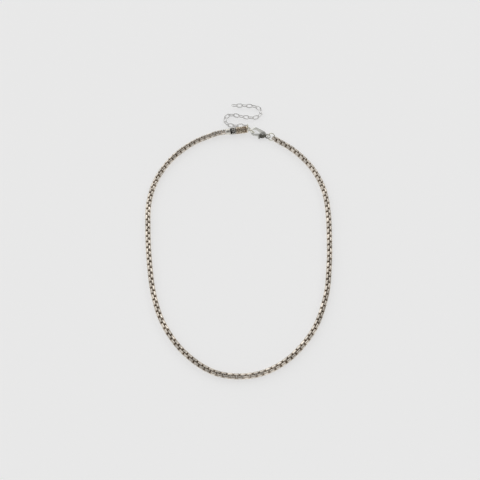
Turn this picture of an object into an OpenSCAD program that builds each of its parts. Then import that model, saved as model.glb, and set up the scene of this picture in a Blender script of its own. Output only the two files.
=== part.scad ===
// Round box chain necklace, fastened and laid out flat on its surface.
// Frame: +Z up, surface at z = 0, origin under the middle of the whole outline, clasp towards +Y.

/* [Loop] */
// Width of the loop between the chain's centre lines
loop_w = 116.4; // [90:0.1:150]
// Depth of the loop from its lowest centre line to the barrel's neck
loop_d = 165.4; // [130:0.1:210]
// Place of the barrel's neck to the left of the loop's middle
neck_x = 8.3; // [0:0.1:20]

/* [Box link] */
// Width across the round chain
chain_w = 3.6; // [3:0.05:4.5]
// Distance from one link to the next
link_pitch = 1.92; // [1.8:0.01:2.3]
// Width of the strip that a link is bent from
strip_w = 1.7; // [1.2:0.05:1.8]
// Thickness of that strip
strip_t = 0.7; // [0.5:0.02:0.75]
// Play between two links along the chain
link_play = 0.24; // [0.2:0.01:0.4]
// Outer radius of a link's four corners
link_corner = 0.95; // [0.5:0.05:1.2]
// Height over which the chain climbs to the barrel, as a length of chain
climb_len = 15; // [8:0.5:30]

/* [Barrel bead] */
// Diameter over the barrel's rims
barrel_d = 4.7; // [4.2:0.05:6]
// Length of the relief body
barrel_len = 12.5; // [9:0.1:18]
// Diameter of the plain neck
neck_d = 3.7; // [3.6:0.05:4]
// Length of the plain neck
neck_len = 2.1; // [1.5:0.1:4]
// Turn of the barrel from the X axis
barrel_turn = 7.5; // [0:0.5:15]
// Width of each end rim
rim_w = 0.75; // [0.5:0.05:1.2]
// Height of the raised ornament
relief_h = 0.3; // [0.2:0.02:0.4]
// Outer diameter of a ring ornament
rosette_d = 2.2; // [1.6:0.05:2.4]
// Ring ornaments round the barrel
rosettes = 5; // [4:1:5]
// Turn of the ornament round the barrel
relief_turn = 22; // [0:1:72]
// Width of the raised lines
line_w = 0.36; // [0.25:0.01:0.45]
// Wire of the barrel's end eye
eye_wire = 0.7; // [0.6:0.05:0.8]
// Radius of the end eye's centre line
eye_r = 1.25; // [1.2:0.05:1.5]
// Straight part of the end eye
eye_leg = 0.75; // [0.6:0.05:1.2]

/* [Jump rings] */
// Wire of the two small rings
ring_wire = 0.56; // [0.5:0.02:0.6]
// Outer diameter of the ring that the clasp hooks on to
joining_d = 5.0; // [4.8:0.05:5.2]
// Outer diameter of the ring that carries the extender
carrier_d = 4.2; // [3.8:0.05:4.8]
// Wire of the ring between the clasp and the chain
clasp_ring_wire = 0.65; // [0.6:0.05:0.7]
// Outer diameter of the ring between the clasp and the chain
clasp_ring_d = 5.4; // [5.2:0.1:6]

/* [Clasp] */
// Length from the rear eye's centre to the front of the hook
clasp_len = 12.4; // [11:0.1:16]
// Thickness of the clasp
clasp_t = 3.0; // [2.6:0.1:3.6]
// Outer diameter of the hook
hook_d = 6.2; // [5.6:0.1:7.4]
// Width of the hook's arm
arm_w = 1.0; // [0.9:0.05:1.1]
// Wire of the rear eye
rear_wire = 0.8; // [0.7:0.05:0.9]
// Radius of the rear eye's centre line
rear_r = 1.55; // [1.5:0.05:1.7]
// Distance from the rear eye to the lever's pivot
pivot_x = 3.6; // [3.2:0.1:4.2]
// Diameter of the rivet
pin_d = 0.8; // [0.6:0.05:1]
// Running clearance round the rivet
pin_gap = 0.05; // [0.03:0.01:0.08]
// Thickness of the lever
lever_t = 1.3; // [1:0.1:1.5]
// Side clearance of the lever in its slot
lever_gap = 0.15; // [0.12:0.01:0.25]
// Diameter of the thumb nub
nub_d = 1.5; // [1.2:0.1:1.8]

/* [Extender] */
// Distance from one extender link to the next
ext_pitch = 3.4; // [3:0.05:3.8]
// Width of an extender link
ext_w = 3.0; // [2.6:0.05:3.6]
// Wire of the extender's links
ext_wire = 0.6; // [0.45:0.01:0.65]
// Play between two extender links
ext_play = 0.2; // [0.15:0.01:0.3]
// Lean of the links towards the front where the extender runs from side to side
ext_lean = 15; // [0:1:20]
// Number of extender links
ext_links = 21; // [3:1:21]

/* [Hidden] */
$fn = 48;

// Loop points as shares of half the width and half the depth, clockwise from the clasp side.
LOOP = [
    [0.650, 0.825], [0.845, 0.665], [0.960, 0.480], [0.997, 0.290], [0.997, 0.070], [0.977, -0.170],
    [0.925, -0.410], [0.780, -0.665], [0.510, -0.878], [0.170, -0.990], [-0.215, -0.978], [-0.540, -0.835],
    [-0.770, -0.625], [-0.893, -0.390], [-0.957, -0.125], [-0.992, 0.140], [-0.995, 0.370], [-0.920, 0.575],
    [-0.760, 0.755], [-0.535, 0.895]
];
// Extender points in mm from the ring that carries it, along the way that it lies.
EXTENDER = [
    [0, 0], [-3.5, -0.2], [-7, -0.4], [-10.5, -0.4], [-14, 0.6], [-16, 3.7], [-14.8, 7.1], [-11.4, 8.4],
    [-7.6, 7.7], [-3.9, 6.9], [-0.1, 6.2], [3.7, 5.8], [7.3, 6.9], [9.2, 10.1], [8, 13.5], [4.4, 15.2],
    [0.4, 15.6], [-4, 15.8], [-8, 15.9], [-12, 16], [-16, 16.2], [-20, 16.5]
];

function turn(a, v) = [v[0] * cos(a) - v[1] * sin(a), v[0] * sin(a) + v[1] * cos(a)];
function flat(v) = [v[0], v[1]];
// Share by which a straight side stays inside the round ends that it joins.
inside = 0.999;

// Smooth curve through points: Catmull-Rom spans, each cut into equal parameter steps.
// The first and the last point only steer the curve's two ends.
function span_point(a, b, c, d, t) =
    0.5 * (2 * b + (c - a) * t + (2 * a - 5 * b + 4 * c - d) * t * t + (3 * b - a - 3 * c + d) * t * t * t);
function curve(p, steps) = [
    for (i = [1:len(p) - 3], k = [0:steps - 1])
        span_point(p[i - 1], p[i], p[i + 1], p[i + 2], k / steps),
    p[len(p) - 2]
];
function with_ends(p) = concat([2 * p[0] - p[1]], p, [2 * p[len(p) - 1] - p[len(p) - 2]]);
// Running length at each point of a curve.
function lengths(p, i = 0, s = 0, out = []) =
    i == len(p) ? out
    : lengths(p, i + 1, s + (i + 1 < len(p) ? norm(p[i + 1] - p[i]) : 0), concat(out, [s]));
function at(p, s, x) = [
    lookup(x, [for (i = [0:len(p) - 1]) [s[i], p[i][0]]]),
    lookup(x, [for (i = [0:len(p) - 1]) [s[i], p[i][1]]])
];

// Box link and how it rests: its strip's edges touch the surface when it is rolled by 45 degrees.
roll = 45;
link_len = link_pitch + 2 * strip_t + link_play;
dome = 0.15;
chain_z = chain_w / 2 * cos(roll - asin(strip_w / chain_w));
slot_x = (link_pitch - link_len + strip_t) / 2;

// Barrel, in the loop's own frame with the loop's middle at the origin.
barrel_z = barrel_d / 2;
barrel_dir = turn(barrel_turn, [1, 0]);
neck_at = [-neck_x, loop_d / 2];
half_link_set = 0.3;
// Bays of the relief between the rims, and the raised lines beside each row of dots.
bay = (barrel_len - 2 * rim_w) / 3;
line_set = 0.55;
dot_d = 1.6 * line_w;
hub_d = rosette_d - 4.4 * line_w;
// How far one form runs into the next, so that they are one solid.
root = 0.3;
chain_end = neck_at - (half_link_set + link_pitch / 2) * barrel_dir;
eye_far = neck_at + (neck_len + barrel_len + eye_leg + eye_r) * barrel_dir;

// Clasp: its rear eye is the origin of its own frame, and its hook points along +X there.
clasp_turn = 154;
clasp_z = clasp_t / 2;
hook_r = hook_d / 2;
hook_x = clasp_len - hook_r;
hook_y = 0.6;
hook_reach = clasp_len + 0.55;
clasp_at = eye_far - turn(clasp_turn, [hook_reach, hook_y]);
pivot = [pivot_x, 1.0];
pivot_r = 1.15;
pin_sink = 0.125;
cheek_r = 2.0;
hook_at = [hook_x, hook_y];
// The hook's mouth starts this far behind its middle, where the lever's end meets it.
tip_back = 0.8;
tip_r = norm([hook_x - tip_back, hook_y + hook_r - arm_w / 2] - pivot);
opening_at = hook_at - [1.8, 0];
opening_r = hook_r - arm_w - 0.5;
waist_r = 2.35;
waist_at = [pivot_x + 0.3, 0.4];
neck_r = 1.35;
neck_x_at = rear_r - rear_wire / 2 + neck_r;
// The lever: an arm from the pivot to the mouth, and a thumb nub on a short stalk,
// the nub's middle so far along the clasp and out to its side from the pivot.
arm_at = [hook_x - 0.3, hook_y + hook_r - 0.65];
arm_end_r = 0.5;
stalk_at = pivot + [1.3, 1.0];
stalk_r = 0.7;
nub_along = 1.5;
nub_out = 2.55;
nub_at = pivot + [nub_along, nub_out];
nub_rise = 0.25;
// Radii of the crown over the clasp's sides and its ends.
crown_side_r = 6;
crown_end_r = 17;

// Rings: centre and how they lie.
joining_r = (joining_d - ring_wire) / 2;
joining_turn = -35;
joining_lean = -69;
joining_at = eye_far + turn(clasp_turn, [-1.5, 0.95]);
joining_z = joining_r * abs(sin(joining_lean)) + ring_wire / 2;
carrier_r = (carrier_d - ring_wire) / 2;
// The carrier stands behind the eye: so far back from the eye's far point, and so far out.
carrier_back = 1.49;
carrier_out = 2.26;
carrier_at = eye_far + turn(barrel_turn, [-carrier_back, carrier_out]);
carrier_z = carrier_d / 2;
carrier_turn = barrel_turn + 90;
clasp_ring_r = (clasp_ring_d - clasp_ring_wire) / 2;
// The clasp's ring leans about its pull, so its wire goes through the rear eye and the first link.
ring_pull = -27;
ring_lean = 42;
clasp_ring_z = clasp_ring_r * sin(ring_lean) + clasp_ring_wire / 2;
// Half width of a leaning ring at a height below its centre.
function ring_half(r, drop, lean) = sqrt(r * r - pow(drop / sin(lean), 2));
eye_drop = clasp_ring_z - clasp_z;
slot_drop = clasp_ring_z - chain_z;
eye_half = ring_half(clasp_ring_r, eye_drop, ring_lean);
slot_half = ring_half(clasp_ring_r, slot_drop, ring_lean);
clasp_ring_at = clasp_at + turn(ring_pull, [eye_half, eye_drop / tan(ring_lean)]);
slot_at = clasp_ring_at + turn(ring_pull, [slot_half, -slot_drop / tan(ring_lean)]);

// The chain's route: from the clasp's ring round the loop to the half link on the barrel's neck.
start_turn = -37;
slot_set = 0.1;
lead_len = 8;
route_start = slot_at - turn(start_turn, [slot_x + slot_set + link_pitch / 2, 0]);
route = curve(
    concat(
        [route_start - turn(start_turn, [lead_len, 0]), route_start],
        [for (q = LOOP) [q[0] * loop_w / 2, q[1] * loop_d / 2]],
        [chain_end - turn(barrel_turn + 6, [lead_len, 0]), chain_end, chain_end + lead_len * barrel_dir]
    ), 16
);
route_s = lengths(route);
route_len = route_s[len(route_s) - 1];
links = round(route_len / link_pitch);
step = route_len / links;
function climb(s) = let (u = min(1, max(0, (s - route_len + climb_len) / climb_len)))
    chain_z + (barrel_z - chain_z) * (1 - cos(180 * u)) / 2;
joints = [for (i = [0:links]) let (q = at(route, route_s, i * step)) [q[0], q[1], climb(i * step)]];

// The extender's route, from the carrier ring's far side.
// Its links lean more from the third on, and the steeper link of a leaning pair touches the surface.
function ext_rest(lean) = (ext_w - ext_wire) / 2 * sin(roll + abs(lean)) + ext_wire / 2;
ext_z = ext_rest(0);
ext_reach = ring_half(carrier_r, carrier_z - ext_z, 90);
ext_from = carrier_at + turn(carrier_turn, [ext_reach, -(ext_wire + ext_play) / 2]);
ext_route = curve(with_ends([for (q = EXTENDER) ext_from + q]), 16);
ext_s = lengths(ext_route);
ext_flat = [for (i = [0:ext_links]) at(ext_route, ext_s, i * ext_pitch)];
ext_leans = [
    for (i = [0:ext_links - 1])
        let (d = ext_flat[i + 1] - ext_flat[i]) ext_lean * d[0] / norm(d) * min(1, i / 3)
];
ext_joints = [
    for (i = [0:ext_links])
        let (lean = max(abs(ext_leans[max(i - 1, 0)]), abs(ext_leans[min(i, ext_links - 1)])))
            [ext_flat[i][0], ext_flat[i][1], ext_rest(lean)]
];

// Shift that puts the origin under the middle of the whole outline.
low_y = min([for (q = joints) q[1]]) - chain_w / 2;
high_y = max([for (q = ext_joints) q[1]]) + (ext_w - ext_wire) / 2 * cos(roll - ext_lean) + ext_wire / 2;
low_x = min([for (q = joints) q[0]]) - chain_w / 2;
high_x = max([for (q = joints) q[0]]) + chain_w / 2;
shift = [-(low_x + high_x) / 2, -(low_y + high_y) / 2, 0];

// Puts a child that lies along X between two points, turned about its own length.
module between(a, b, about) {
    d = b - a;
    translate((a + b) / 2)
        rotate([0, 0, atan2(d[1], d[0])])
            rotate([0, -atan2(d[2], norm(flat(d))), 0])
                rotate([about, 0, 0])
                    children();
}

module torus(r, wire) {
    rotate_extrude($fn = 72)
        translate([r, 0])
            circle(d = wire);
}

// Flat shape with round corners, longest along X.
module rounded(size, r) {
    square([size[0] - 2 * r, size[1]], center = true);
    square([size[0], size[1] - 2 * r], center = true);
    for (x = [-1, 1], y = [-1, 1])
        translate([x * (size[0] / 2 - r), y * (size[1] / 2 - r)])
            circle(r);
}

// One link: a strip bent to a square ring, its outside turned round about the chain.
module box_link() {
    intersection() {
        linear_extrude(strip_w, center = true)
            difference() {
                rounded([link_len, chain_w + 2 * dome], link_corner + dome);
                square([link_len - 2 * strip_t, chain_w - 2 * strip_t], center = true);
            }
        rotate([0, 90, 0])
            cylinder(d = chain_w, h = link_len + 1, center = true);
    }
}

module box_chain() {
    color("#b4a999")
        for (i = [0:links - 1])
            between(joints[i], joints[i + 1], i % 2 == 0 ? -roll : roll)
                box_link();
}

// Flat shape of one ring ornament with its dot.
module rosette() {
    difference() {
        circle(d = rosette_d);
        circle(d = rosette_d - 2 * line_w);
    }
    circle(d = hub_d);
}

module ornament_row(x, from) {
    for (k = [0:rosettes - 1])
        translate([x, 0, 0])
            rotate([from + k * 360 / rosettes, 0, 0])
                linear_extrude(barrel_d)
                    rosette();
}

module raised_line(x) {
    translate([x - line_w / 2, 0, 0])
        rotate([0, 90, 0])
            cylinder(d = barrel_d, h = line_w);
}

module dot_row(x, from) {
    for (k = [0:2 * rosettes - 1])
        translate([x, 0, 0])
            rotate([from + k * 180 / rosettes, 0, 0])
                cylinder(d = dot_d, h = barrel_d, $fn = 24);
}

module barrel_eye() {
    for (y = [-1, 1])
        translate([-root, y * eye_r, 0])
            rotate([0, 90, 0])
                cylinder(d = eye_wire, h = eye_leg + root, $fn = 32);
    translate([eye_leg, 0, 0])
        rotate([0, 0, -90])
            rotate_extrude(angle = 180, $fn = 64)
                translate([eye_r, 0])
                    circle(d = eye_wire, $fn = 32);
}

// The barrel in its own frame: axis along X, from the neck's left end.
module barrel_shape() {
    core_d = barrel_d - 2 * relief_h;
    rotate([0, 90, 0])
        cylinder(d = neck_d, h = neck_len + root);
    translate([neck_len, 0, 0]) {
        rotate([0, 90, 0])
            cylinder(d = core_d, h = barrel_len);
        for (x = [0, barrel_len - rim_w])
            translate([x, 0, 0])
                rotate([0, 90, 0])
                    cylinder(d = barrel_d, h = rim_w);
        for (k = [1, 2], side = [-1, 1])
            raised_line(rim_w + k * bay + side * line_set);
        intersection() {
            rotate([0, 90, 0])
                cylinder(d = barrel_d, h = barrel_len);
            union() {
                for (k = [0:2])
                    ornament_row(rim_w + (k + 0.5) * bay, relief_turn + (k % 2) * 180 / rosettes);
                for (k = [1, 2])
                    dot_row(rim_w + k * bay, relief_turn);
            }
        }
        translate([barrel_len, 0, 0])
            barrel_eye();
    }
}

module barrel_bead() {
    color("#8d7a5e")
        translate([neck_at[0], neck_at[1], barrel_z])
            rotate([0, 0, barrel_turn]) {
                barrel_shape();
                intersection() {
                    translate([-half_link_set, 0, 0])
                        rotate([links % 2 == 0 ? -roll : roll, 0, 0])
                            box_link();
                    translate([root - 2 * chain_w, -chain_w, -chain_w])
                        cube(2 * chain_w);
                }
            }
}

module joining_ring() {
    color("#c9c9c2")
        translate([joining_at[0], joining_at[1], joining_z])
            rotate([0, 0, joining_turn])
                rotate([joining_lean, 0, 0])
                    torus(joining_r, ring_wire);
}

module extender_ring() {
    color("#cfcdb4")
        translate([carrier_at[0], carrier_at[1], carrier_z])
            rotate([0, 0, carrier_turn])
                rotate([90, 0, 0])
                    torus(carrier_r, ring_wire);
}

// One oval link along X: two straight sides and two half rings.
module ext_link() {
    r = (ext_w - ext_wire) / 2;
    straight = ext_pitch + ext_wire + ext_play - 2 * r;
    for (side = [-1, 1]) {
        translate([-straight / 2, side * r, 0])
            rotate([0, 90, 0])
                cylinder(d = ext_wire, h = straight, $fn = 24);
        translate([side * straight / 2, 0, 0])
            rotate([0, 0, -90 * side])
                rotate_extrude(angle = 180, $fn = 48)
                    translate([r, 0])
                        circle(d = ext_wire, $fn = 24);
    }
}

module extender_chain() {
    color("#d2d2d2")
        for (i = [0:ext_links - 1])
            between(ext_joints[i], ext_joints[i + 1], (i % 2 == 0 ? roll : -roll) + ext_leans[i])
                ext_link();
}

// Outline between two circles of a clasp part, its sides just inside the common tangents.
module blend(a, ra, b, rb) {
    d = b - a;
    u = atan2(d[1], d[0]);
    t = acos((ra - rb) / norm(d));
    k = inside;
    translate(a)
        circle(ra);
    translate(b)
        circle(rb);
    polygon([
        a + k * ra * [cos(u + t), sin(u + t)], b + k * rb * [cos(u + t), sin(u + t)],
        b + k * rb * [cos(u - t), sin(u - t)], a + k * ra * [cos(u - t), sin(u - t)]
    ]);
}

module clasp_outline() {
    blend(waist_at, waist_r, hook_at, hook_r);
    blend([neck_x_at, 0], neck_r, waist_at, waist_r);
}

module clasp_opening() {
    blend(opening_at, opening_r, hook_at, hook_r - arm_w);
}

// The lever's way: from the pivot's cheeks to the hook's tip, on the lever's side.
module lever_way() {
    difference() {
        intersection() {
            translate(pivot)
                circle(tip_r);
            translate([pivot_x, pivot[1] - pivot_r - lever_gap])
                square(2 * tip_r);
        }
        translate(pivot)
            circle(cheek_r);
    }
}

// The slot between the two cheeks: round the pivot, and open towards the lever's way.
module lever_slot() {
    translate(pivot) {
        circle(pivot_r + lever_gap);
        intersection() {
            circle(cheek_r + root);
            translate([-lever_gap, -pivot_r - lever_gap])
                square(2 * cheek_r + root);
        }
    }
}

// What two copies of a child share, one with its middle above the clasp and one below it.
module shared_by_faces(mid, z) {
    intersection() {
        translate([mid[0], mid[1], z])
            children();
        translate([mid[0], mid[1], -z])
            children();
    }
}

// Lens that rounds the clasp's two faces: lower to its sides and to its ends.
module crown() {
    mid = [(pivot_x + hook_x) / 2, waist_at[1]];
    side_z = crown_side_r - clasp_t / 2;
    end_z = crown_end_r - clasp_t / 2;
    intersection() {
        shared_by_faces(mid, side_z)
            rotate([0, 90, 0])
                cylinder(r = crown_side_r, h = 2 * clasp_len, center = true, $fn = 240);
        shared_by_faces(mid, end_z)
            rotate([90, 0, 0])
                cylinder(r = crown_end_r, h = 2 * clasp_len, center = true, $fn = 720);
    }
}

module clasp_frame() {
    translate([clasp_at[0], clasp_at[1], clasp_z])
        rotate([0, 0, clasp_turn])
            children();
}

module clasp_body() {
    color("#9d9d97")
        clasp_frame() {
            difference() {
                intersection() {
                    linear_extrude(clasp_t, center = true)
                        difference() {
                            clasp_outline();
                            clasp_opening();
                            lever_way();
                        }
                    crown();
                }
                linear_extrude(lever_t + 2 * lever_gap, center = true)
                    lever_slot();
                translate([pivot[0], pivot[1], 0])
                    cylinder(d = pin_d + 2 * pin_gap, h = clasp_t + 1, center = true);
            }
            torus(rear_r, rear_wire);
        }
}

module clasp_lever() {
    color("#b0b0aa")
        clasp_frame()
            difference() {
                union() {
                    linear_extrude(lever_t, center = true) {
                        intersection() {
                            blend(pivot, pivot_r, arm_at, arm_end_r);
                            translate(pivot)
                                circle(tip_r - lever_gap);
                        }
                        blend(stalk_at, stalk_r, nub_at, 0.43 * nub_d);
                    }
                    translate([nub_at[0], nub_at[1], 0])
                        cylinder(d = nub_d, h = lever_t + 2 * nub_rise, center = true);
                }
                translate([pivot[0], pivot[1], 0])
                    cylinder(d = pin_d + 2 * pin_gap, h = clasp_t, center = true);
            }
}

module clasp_pin() {
    color("#8a8a84")
        clasp_frame()
            translate([pivot[0], pivot[1], 0])
                cylinder(d = pin_d, h = clasp_t - 2 * pin_sink, center = true);
}

module clasp_ring() {
    color("#cfcdc0")
        translate([clasp_ring_at[0], clasp_ring_at[1], clasp_ring_z])
            rotate([0, 0, ring_pull])
                rotate([ring_lean, 0, 0])
                    torus(clasp_ring_r, clasp_ring_wire);
}

translate(shift) {
    box_chain();
    barrel_bead();
    joining_ring();
    extender_ring();
    extender_chain();
    clasp_body();
    clasp_lever();
    clasp_pin();
    clasp_ring();
}
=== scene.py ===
"""Looks of a round box chain necklace that lies fastened on its surface."""

from __future__ import annotations

import logging
import math
from dataclasses import dataclass
from enum import Enum

import bmesh
import bpy
import numpy as np
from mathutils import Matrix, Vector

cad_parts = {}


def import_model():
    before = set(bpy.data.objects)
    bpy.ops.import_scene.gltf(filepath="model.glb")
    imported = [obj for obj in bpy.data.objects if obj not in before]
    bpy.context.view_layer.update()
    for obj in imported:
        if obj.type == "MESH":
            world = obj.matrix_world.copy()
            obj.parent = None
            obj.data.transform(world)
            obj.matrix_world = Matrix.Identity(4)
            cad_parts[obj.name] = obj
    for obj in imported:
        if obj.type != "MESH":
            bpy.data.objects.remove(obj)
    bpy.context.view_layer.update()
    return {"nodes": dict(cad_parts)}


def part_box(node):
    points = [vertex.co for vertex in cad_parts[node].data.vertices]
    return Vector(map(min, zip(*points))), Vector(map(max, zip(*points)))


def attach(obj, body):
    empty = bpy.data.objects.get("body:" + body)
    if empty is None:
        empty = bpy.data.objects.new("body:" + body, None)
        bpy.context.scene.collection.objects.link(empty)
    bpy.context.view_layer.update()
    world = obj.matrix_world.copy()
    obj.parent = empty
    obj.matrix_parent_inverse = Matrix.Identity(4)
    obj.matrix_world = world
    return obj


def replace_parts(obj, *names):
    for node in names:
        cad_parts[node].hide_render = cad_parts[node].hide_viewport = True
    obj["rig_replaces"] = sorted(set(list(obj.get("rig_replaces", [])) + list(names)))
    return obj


LOG = logging.getLogger("necklace")
MM = 0.001
MERGE_MM = 1e-4
WELD_MM = 1e-3
FAR_MM = 99.0
BUMP = 0.6
MID_TONE = 0.5


def cos_sin(angle: float) -> tuple[float, float]:
    """The cosine and the sine of an angle in degrees."""
    return math.cos(math.radians(angle)), math.sin(math.radians(angle))


def turn(angle: float, v: tuple[float, float]) -> np.ndarray:
    """A flat vector turned about Z.

    Args:
        angle: the turn in degrees.
        v: the vector's x and y.

    Returns:
        The turned vector.
    """
    c, s = cos_sin(angle)
    return np.array([v[0] * c - v[1] * s, v[0] * s + v[1] * c])


def ring_half(r: float, drop: float, lean: float) -> float:
    """Half width of a leaning ring at a height below its centre.

    Args:
        r: the ring's radius.
        drop: the height below the centre.
        lean: the ring's lean in degrees.

    Returns:
        The half width, by Pythagoras in the ring's own plane.
    """
    return math.sqrt(r * r - (drop / math.sin(math.radians(lean))) ** 2)


def curve(points: np.ndarray, steps: int) -> np.ndarray:
    """Smooth line through points; the first and the last only steer its ends.

    Each span is the Catmull-Rom cubic of its four nearest points.

    Args:
        points: the guide points, one row each.
        steps: parameter steps in each span.

    Returns:
        The line's points, one row each.
    """
    t = (np.arange(steps) / steps)[None, :, None]
    a, b, c, d = (points[k : len(points) - 3 + k, None, :] for k in range(4))
    line = 0.5 * (
        2 * b
        + (c - a) * t
        + (2 * a - 5 * b + 4 * c - d) * t**2
        + (3 * b - a - 3 * c + d) * t**3
    )
    return np.concatenate([line.reshape(-1, 2), points[-2:-1]])


def running_length(line: np.ndarray) -> np.ndarray:
    """Length along a line up to each of its points."""
    return np.concatenate([[0.0], np.cumsum(np.linalg.norm(np.diff(line, axis=0), axis=1))])


def at_length(line: np.ndarray, where: np.ndarray) -> np.ndarray:
    """Points of a line at given running lengths, by straight interpolation."""
    s = running_length(line)
    return np.stack([np.interp(where, s, line[:, k]) for k in range(2)], axis=1)


def smooth(x: np.ndarray) -> np.ndarray:
    """The S-shaped step 3x^2 - 2x^3 of values held between 0 and 1."""
    x = np.clip(x, 0.0, 1.0)
    return x * x * (3.0 - 2.0 * x)


def write_values(mesh: bpy.types.Mesh, **values: np.ndarray) -> None:
    """Keeps named values on a mesh, one value a point.

    Args:
        mesh: the mesh.
        values: an array for each attribute's name.
    """
    for name, numbers in values.items():
        data = mesh.attributes.new(name, "FLOAT", "POINT").data
        data.foreach_set("value", numbers.astype(np.float32))


def points_of(mesh: bpy.types.Mesh) -> np.ndarray:
    """All points of a mesh in mm, one row each."""
    co = np.empty(3 * len(mesh.vertices))
    mesh.vertices.foreach_get("co", co)
    return co.reshape(-1, 3) / MM


def add_object(name: str, data: bpy.types.ID) -> bpy.types.Object:
    """A new object that holds some data, linked to the scene.

    Args:
        name: the object's name.
        data: its mesh, camera or light.

    Returns:
        The object, at the origin.
    """
    made = bpy.data.objects.new(name, data)
    bpy.context.scene.collection.objects.link(made)
    return made


def feed(tree: bpy.types.NodeTree, socket: bpy.types.NodeSocket, value: object) -> None:
    """Gives a node's input a number or colour, or links it where the value is a socket."""
    if isinstance(value, bpy.types.NodeSocket):
        tree.links.new(value, socket)
    else:
        socket.default_value = value


def math_node(tree: bpy.types.NodeTree, operation: str, *values: object) -> bpy.types.Node:
    """A math node.

    Args:
        tree: the node tree.
        operation: what it works out.
        values: each input's number, or the socket that feeds it.

    Returns:
        The node.
    """
    node = tree.nodes.new("ShaderNodeMath")
    node.operation = operation
    for socket, value in zip(node.inputs, values):
        feed(tree, socket, value)
    return node


def mix_node(
    tree: bpy.types.NodeTree, factor: object, a: object, b: object, blend: str = "MIX"
) -> bpy.types.Node:
    """A colour mix, whose result is its output 2.

    Args:
        tree: the node tree.
        factor: the share of the second colour, or the socket that feeds it.
        a: the first colour, or the socket that feeds it.
        b: the second colour, or the socket that feeds it.
        blend: how the two are blended.

    Returns:
        The node.
    """
    node = tree.nodes.new("ShaderNodeMix")
    node.data_type = "RGBA"
    node.blend_type = blend
    for socket, value in ((0, factor), (6, a), (7, b)):
        feed(tree, node.inputs[socket], value)
    return node


def mirrored(corner: np.ndarray) -> np.ndarray:
    """A closed outline of four corners from its first one, mirrored about X and Y."""
    back = corner[::-1]
    return np.concatenate([corner, back * (-1, 1), corner * (-1, -1), back * (1, -1)])


@dataclass
class Patch:
    """Points and four-sided faces of a surface in mm, with one value a point.

    Attributes:
        points: one row of x, y and z for each point.
        faces: one row of four point numbers for each face.
        gap: how deep each point lies in a gap, from 0 to 1.
        tone: a second value, such as a link's own shade.
    """

    points: np.ndarray
    faces: np.ndarray
    gap: np.ndarray
    tone: np.ndarray

    @classmethod
    def grid(
        cls,
        points: np.ndarray,
        wrap_rows: bool = False,
        gap: np.ndarray | None = None,
        tone: np.ndarray | None = None,
    ) -> Patch:
        """Surface on a grid whose columns close round.

        Args:
            points: array of rows by columns by 3; a row runs round the section.
            wrap_rows: whether the last row joins the first.
            gap: gap value of each grid point.
            tone: tone value of each grid point.

        Returns:
            The surface, its faces outwards where rows run along the way and
            columns turn right-handed about it.
        """
        n, m = points.shape[:2]
        r = np.arange(n if wrap_rows else n - 1)[:, None]
        c = np.arange(m)[None, :]
        r2, c2 = (r + 1) % n, (c + 1) % m
        faces = np.stack([r * m + c, r * m + c2, r2 * m + c2, r2 * m + c], axis=-1)
        zero = np.zeros(n * m)
        return cls(
            points.reshape(-1, 3),
            faces.reshape(-1, 4),
            zero if gap is None else np.asarray(gap, float).reshape(-1),
            zero.copy() if tone is None else np.asarray(tone, float).reshape(-1),
        )

    def placed(self, centre: np.ndarray, axes: np.ndarray, tone: np.ndarray | None = None) -> Patch:
        """Many copies, each point sent to centre + x X + y Y + z Z.

        Args:
            centre: one row of x, y and z for each copy.
            axes: copies by 3 by 3, the rows being the copy's X, Y and Z.
            tone: each copy's own tone.

        Returns:
            All copies as one surface.
        """
        k, n = len(centre), len(self.points)
        points = np.einsum("ni,kij->knj", self.points, axes) + centre[:, None, :]
        faces = (self.faces[None] + (np.arange(k) * n)[:, None, None]).reshape(-1, 4)
        own = np.tile(self.tone, k) if tone is None else np.repeat(tone, n)
        return Patch(points.reshape(-1, 3), faces, np.tile(self.gap, k), own)

    @staticmethod
    def joined(*parts: Patch) -> Patch:
        """Several surfaces as one."""
        start = np.cumsum([0] + [len(p.points) for p in parts[:-1]])
        return Patch(
            np.concatenate([p.points for p in parts]),
            np.concatenate([p.faces + s for p, s in zip(parts, start)]),
            np.concatenate([p.gap for p in parts]),
            np.concatenate([p.tone for p in parts]),
        )

    def to_object(self, name: str, sharp_deg: float) -> bpy.types.Object:
        """A mesh object of this surface, in metres.

        Args:
            name: the piece's name.
            sharp_deg: edges that bend by more stay sharp.

        Returns:
            The object, linked to the scene, at the origin.
        """
        mesh = bpy.data.meshes.new(name)
        mesh.from_pydata((self.points * MM).tolist(), [], self.faces.tolist())
        write_values(mesh, gap=self.gap, tone=self.tone)
        # points that share a place, as at the middle of a cap, become one
        solid = bmesh.new()
        solid.from_mesh(mesh)
        bmesh.ops.remove_doubles(solid, verts=solid.verts, dist=MERGE_MM * MM)
        solid.to_mesh(mesh)
        solid.free()
        mesh.polygons.foreach_set("use_smooth", np.ones(len(mesh.polygons), bool))
        mesh.set_sharp_from_angle(angle=math.radians(sharp_deg))
        mesh.update()
        return add_object(name, mesh)


def axes_between(a: np.ndarray, b: np.ndarray, about: np.ndarray) -> tuple[np.ndarray, np.ndarray]:
    """Places of links that lie between two points each, turned about their length.

    X runs from a to b, Y is level, Z is X cross Y, and Y and Z then turn about X.

    Args:
        a: first points, one row each.
        b: second points, one row each.
        about: each link's turn in degrees.

    Returns:
        The centres and the three axes of each link.
    """
    x = (b - a) / np.linalg.norm(b - a, axis=1, keepdims=True)
    y = np.stack([-x[:, 1], x[:, 0], np.zeros(len(x))], axis=1)
    y /= np.linalg.norm(y, axis=1, keepdims=True)
    z = np.cross(x, y)
    c, s = np.cos(np.radians(about))[:, None], np.sin(np.radians(about))[:, None]
    return (a + b) / 2, np.stack([x, c * y + s * z, c * z - s * y], axis=1)


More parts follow.
